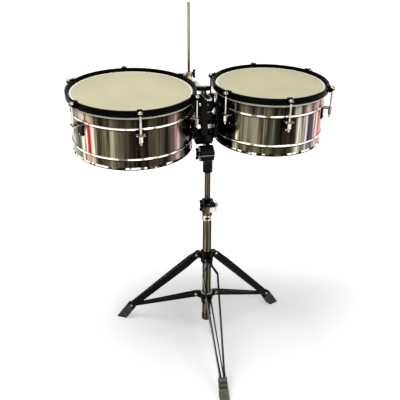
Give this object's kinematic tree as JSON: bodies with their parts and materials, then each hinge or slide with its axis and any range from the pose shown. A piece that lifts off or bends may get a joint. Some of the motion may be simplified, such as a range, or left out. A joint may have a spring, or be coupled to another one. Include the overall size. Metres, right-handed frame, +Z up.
{
  "type": "timbales",
  "caption": "Timbales: two shallow chrome drums, open below, on a folding tripod stand with a height clamp, tilter and cowbell post.",
  "frame": {"origin": "centre of the bounding box on the floor", "axes": "+Z up, +X along the line of the drums to the player's right, the player stands at -Y"},
  "size_m": [0.7838, 0.5958, 1.074],
  "materials": {
    "chrome": "bright chrome plate on steel",
    "black_enamel": "gloss black enamel on steel and castings",
    "boot_rubber": "matt moulded rubber",
    "flesh_hoop": "pale drumhead hoop",
    "drumhead": "coated plastic film, matt cream"
  },
  "bodies": {
    "stand_column": {"base_tube": "chrome", "window_collar": "chrome", "clamp_base": "chrome", "clamp_jaw": "black_enamel", "leg_hub": "black_enamel"},
    "front_leg": {"front_leg": "black_enamel", "front_boot": "boot_rubber"},
    "right_leg": {"right_leg": "black_enamel", "right_boot": "boot_rubber"},
    "left_leg": {"left_leg": "black_enamel", "left_boot": "boot_rubber"},
    "brace_collar": {"brace_collar": "black_enamel"},
    "front_brace": {"front_brace": "black_enamel"},
    "right_brace": {"right_brace": "black_enamel"},
    "left_brace": {"left_brace": "black_enamel"},
    "collar_wing_screw": {"collar_wing_screw": "black_enamel"},
    "clamp_wing_bolt": {"clamp_wing_bolt": "black_enamel"},
    "height_tube": {"height_tube": "chrome"},
    "tilter_base": {"tilter_base": "black_enamel"},
    "tilter_head": {"tilter_head": "black_enamel", "centre_bracket": "black_enamel"},
    "tilter_wing_bolt": {"tilter_wing_bolt": "black_enamel"},
    "left_drum": {"left_shell": "chrome", "left_head": "drumhead", "left_flesh_hoop": "flesh_hoop", "left_counterhoop": "black_enamel", "left_mount": "black_enamel", "left_lug_1": "black_enamel", "left_tension_rod_1": "chrome", "left_lug_2": "black_enamel", "left_tension_rod_2": "chrome", "left_lug_3": "black_enamel", "left_tension_rod_3": "chrome", "left_lug_4": "black_enamel", "left_tension_rod_4": "chrome", "left_lug_5": "black_enamel", "left_tension_rod_5": "chrome", "left_lug_6": "black_enamel", "left_tension_rod_6": "chrome"},
    "right_drum": {"right_shell": "chrome", "right_head": "drumhead", "right_flesh_hoop": "flesh_hoop", "right_counterhoop": "black_enamel", "right_mount": "black_enamel", "right_lug_1": "black_enamel", "right_tension_rod_1": "chrome", "right_lug_2": "black_enamel", "right_tension_rod_2": "chrome", "right_lug_3": "black_enamel", "right_tension_rod_3": "chrome", "right_lug_4": "black_enamel", "right_tension_rod_4": "chrome", "right_lug_5": "black_enamel", "right_tension_rod_5": "chrome", "right_lug_6": "black_enamel", "right_tension_rod_6": "chrome"},
    "t_handle_screw": {"t_handle_screw": "black_enamel"},
    "cowbell_arm": {"cowbell_arm": "chrome"},
    "cowbell_wing_screw": {"cowbell_wing_screw": "black_enamel"},
    "cowbell_post": {"cowbell_post": "chrome"}
  },
  "joints": [
    {"name": "front_leg_fold", "type": "hinge", "parent": "stand_column", "child": "front_leg", "pos_m": [0.01101, 0.00654, 0.311], "axis": [0.9986, -0.0523, 0], "range_deg": [0, 40]},
    {"name": "right_leg_fold", "type": "hinge", "parent": "stand_column", "child": "right_leg", "pos_m": [0.04148, 0.05346, 0.311], "axis": [-0.454, 0.891, 0], "range_deg": [0, 40]},
    {"name": "left_leg_fold", "type": "hinge", "parent": "stand_column", "child": "left_leg", "pos_m": [-0.01439, 0.05639, 0.311], "axis": [-0.5446, -0.8387, 0], "range_deg": [0, 40]},
    {"name": "brace_collar_slide", "type": "slide", "parent": "stand_column", "child": "brace_collar", "axis": [0, 0, 1], "range_m": [0, 0.062]},
    {"name": "front_brace_fold", "type": "hinge", "parent": "brace_collar", "child": "front_brace", "pos_m": [0.01091, 0.00465, 0.1598], "axis": [0.9986, -0.0523, 0], "range_deg": [0, 62]},
    {"name": "right_brace_fold", "type": "hinge", "parent": "brace_collar", "child": "right_brace", "pos_m": [0.04317, 0.05433, 0.1598], "axis": [-0.454, 0.891, 0], "range_deg": [0, 62]},
    {"name": "left_brace_fold", "type": "hinge", "parent": "brace_collar", "child": "left_brace", "pos_m": [-0.01598, 0.05743, 0.1598], "axis": [-0.5446, -0.8387, 0], "range_deg": [0, 62]},
    {"name": "collar_wing_turn", "type": "hinge", "parent": "brace_collar", "child": "collar_wing_screw", "pos_m": [0.01429, 0.06906, 0.1598], "axis": [0.0523, 0.9986, 0], "continuous": true},
    {"name": "clamp_wing_turn", "type": "hinge", "parent": "stand_column", "child": "clamp_wing_bolt", "pos_m": [-0.0061, 0.0163, 0.5038], "axis": [1, 0, 0], "continuous": true},
    {"name": "height_slide", "type": "slide", "parent": "stand_column", "child": "height_tube", "axis": [0, 0, 1], "range_m": [-0.08, 0.13]},
    {"name": "swivel", "type": "hinge", "parent": "height_tube", "child": "tilter_base", "pos_m": [0.0127, 0.0388, 0.604], "axis": [0, 0, 1], "continuous": true},
    {"name": "tilter_turn", "type": "hinge", "parent": "tilter_base", "child": "tilter_head", "pos_m": [0.0127, 0.0388, 0.665], "axis": [1, 0, 0], "range_deg": [-20, 20]},
    {"name": "tilter_wing_turn", "type": "hinge", "parent": "tilter_head", "child": "tilter_wing_bolt", "pos_m": [-0.0136, 0.0388, 0.665], "axis": [1, 0, 0], "continuous": true},
    {"name": "left_drum_tilt", "type": "hinge", "parent": "tilter_head", "child": "left_drum", "pos_m": [0.0127, 0.0988, 0.7285], "axis": [1, 0, 0], "range_deg": [-25, 25]},
    {"name": "right_drum_tilt", "type": "hinge", "parent": "tilter_head", "child": "right_drum", "pos_m": [0.0127, 0.0988, 0.7285], "axis": [1, 0, 0], "range_deg": [-25, 25]},
    {"name": "t_handle_turn", "type": "hinge", "parent": "tilter_head", "child": "t_handle_screw", "pos_m": [0.0127, 0.0988, 0.848], "axis": [0, 0, 1], "continuous": true},
    {"name": "arm_slide", "type": "slide", "parent": "tilter_head", "child": "cowbell_arm", "axis": [0, 1, 0], "range_m": [-0.06, 0.045]},
    {"name": "cowbell_wing_turn", "type": "hinge", "parent": "cowbell_arm", "child": "cowbell_wing_screw", "pos_m": [0.0105, 0.2608, 0.8538], "axis": [1, 0, 0], "continuous": true},
    {"name": "cowbell_post_slide", "type": "slide", "parent": "cowbell_arm", "child": "cowbell_post", "axis": [0, 0, 1], "range_m": [-0.15, 0.02]}
  ],
  "couplings": [
    {"joint": "right_leg_fold", "follows": "front_leg_fold", "ratio": 1},
    {"joint": "left_leg_fold", "follows": "front_leg_fold", "ratio": 1},
    {"joint": "brace_collar_slide", "follows": "front_leg_fold", "m_per_rad": 0.088373},
    {"joint": "front_brace_fold", "follows": "front_leg_fold", "ratio": 1.5471},
    {"joint": "right_brace_fold", "follows": "front_leg_fold", "ratio": 1.5471},
    {"joint": "left_brace_fold", "follows": "front_leg_fold", "ratio": 1.5471}
  ]
}
